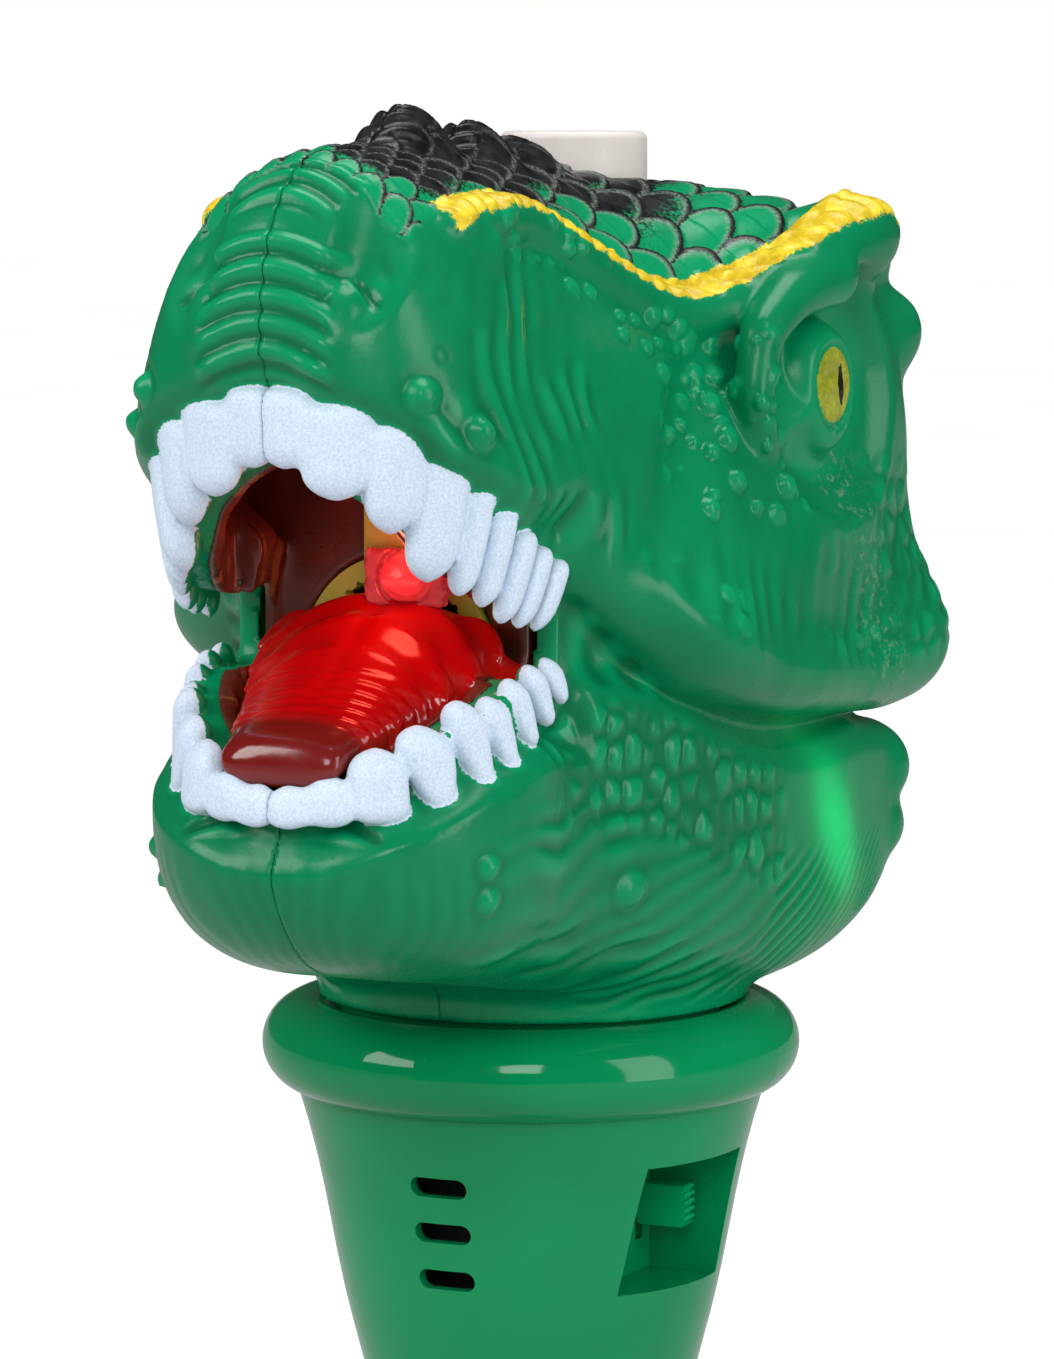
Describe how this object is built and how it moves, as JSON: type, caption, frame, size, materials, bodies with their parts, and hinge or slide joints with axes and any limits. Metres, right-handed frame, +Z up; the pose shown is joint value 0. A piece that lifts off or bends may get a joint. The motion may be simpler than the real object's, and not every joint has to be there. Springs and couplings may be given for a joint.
{
  "type": "bubble machine",
  "caption": "Hand-held bubble machine: a dinosaur head with an open toothed mouth, tongue and filler cap on a round handle with a collar and slide switch.",
  "frame": {"origin": "centre of the handle's flat base", "axes": "+Z up along the handle, -Y the way the dinosaur looks, +X its left side"},
  "size_m": [0.103, 0.1502, 0.3239],
  "materials": {
    "green_shell": "moulded green plastic, glossy, with sprayed teeth, brows and crest",
    "green_handle": "moulded green plastic, glossy",
    "throat": "translucent red-brown plastic",
    "tongue": "translucent red plastic",
    "lime_plastic": "yellow-green plastic",
    "steel": "bright steel",
    "white_acetal": "white gear plastic",
    "brass": "turned brass",
    "motor_can": "plated motor can",
    "inner_plastic": "black moulded plastic",
    "silicone": "clear silicone tube",
    "tank_plastic": "milky translucent plastic",
    "white_cap": "off-white satin plastic",
    "seal_rubber": "grey rubber",
    "pink_lens": "clear pink lens",
    "led_resin": "clear resin",
    "led_green": "lit green resin",
    "circuit_board": "green solder resist",
    "switch_body": "black switch body",
    "knob_green": "ribbed green knob",
    "speaker_black": "black paper cone and frame",
    "cell_jacket": "plain wrapped dry cell",
    "contact_nickel": "nickel-plated strip",
    "wire_jacket": "insulated wire"
  },
  "bodies": {
    "housing": {"head_shell_left": "green_shell", "head_shell_right": "green_shell", "handle_shell_left": "green_handle", "handle_shell_right": "green_handle", "mouth_liner": "throat", "tongue": "tongue", "bubble_ring": "lime_plastic", "led_holder": "lime_plastic", "idler_axles": "steel", "head_screws": "steel", "handle_screws": "steel", "pump_motor": "motor_can", "blower_motor": "motor_can", "gearbox_case": "inner_plastic", "gearbox_cover": "inner_plastic", "pump_housing": "inner_plastic", "air_duct": "inner_plastic", "blower_housing": "inner_plastic", "blower_cover": "inner_plastic", "pump_tube": "silicone", "solution_tank": "tank_plastic", "mouth_led_lens": "pink_lens", "mouth_led": "led_resin", "glow_leds": "led_green", "glow_boards": "circuit_board", "control_board": "circuit_board", "slide_switch": "switch_body", "speaker": "speaker_black", "battery_holder": "inner_plastic", "battery_cells": "cell_jacket", "battery_contacts": "contact_nickel", "wiring": "wire_jacket"},
    "filler_cap": {"filler_cap": "white_cap"},
    "cap_lift": {"cap_seal": "seal_rubber"},
    "switch_knob": {"switch_knob": "knob_green"},
    "impeller": {"impeller": "inner_plastic", "blower_shaft": "steel"},
    "drive": {"drive_shaft": "steel", "wiper": "lime_plastic", "output_gear": "white_acetal", "pump_rotor": "white_acetal"},
    "idler_2": {"idler_gear_2": "white_acetal"},
    "idler_1": {"idler_gear_1": "white_acetal"},
    "motor_rotor": {"pump_motor_shaft": "steel", "motor_pinion": "brass"},
    "battery_door": {"battery_door": "green_handle"},
    "door_screw": {"door_screw": "steel"}
  },
  "joints": [
    {"name": "knob_slide", "type": "slide", "parent": "housing", "child": "switch_knob", "axis": [0, 0, 1], "range_m": [-0.004, 0.004]},
    {"name": "cap_lift", "type": "slide", "parent": "housing", "child": "cap_lift", "axis": [0, 0, 1], "range_m": [0, 0.03]},
    {"name": "cap_turn", "type": "hinge", "parent": "cap_lift", "child": "filler_cap", "pos_m": [0, 0.016, 0.315], "axis": [0, 0, 1], "continuous": true},
    {"name": "impeller_spin", "type": "hinge", "parent": "housing", "child": "impeller", "pos_m": [0, 0.006, 0.2], "axis": [0, 0, 1], "continuous": true},
    {"name": "drive_spin", "type": "hinge", "parent": "housing", "child": "drive", "pos_m": [0, 0, 0.242], "axis": [0, -1, 0], "continuous": true},
    {"name": "idler_2_spin", "type": "hinge", "parent": "housing", "child": "idler_2", "pos_m": [0.00788, 0, 0.22836], "axis": [0, -1, 0], "continuous": true},
    {"name": "idler_1_spin", "type": "hinge", "parent": "housing", "child": "idler_1", "pos_m": [0.02268, 0, 0.23375], "axis": [0, -1, 0], "continuous": true},
    {"name": "pinion_spin", "type": "hinge", "parent": "housing", "child": "motor_rotor", "pos_m": [0.02675, 0, 0.24896], "axis": [0, -1, 0], "continuous": true},
    {"name": "door_slide", "type": "slide", "parent": "housing", "child": "battery_door", "axis": [0, 1, 0], "range_m": [0, 0.03]},
    {"name": "door_screw_turn", "type": "hinge", "parent": "battery_door", "child": "door_screw", "pos_m": [0, 0.02, 0.064], "axis": [0, 1, 0], "continuous": true}
  ],
  "couplings": [
    {"joint": "idler_2_spin", "follows": "drive_spin", "ratio": -3.2},
    {"joint": "idler_1_spin", "follows": "drive_spin", "ratio": 10.24},
    {"joint": "pinion_spin", "follows": "drive_spin", "ratio": -32.768}
  ]
}
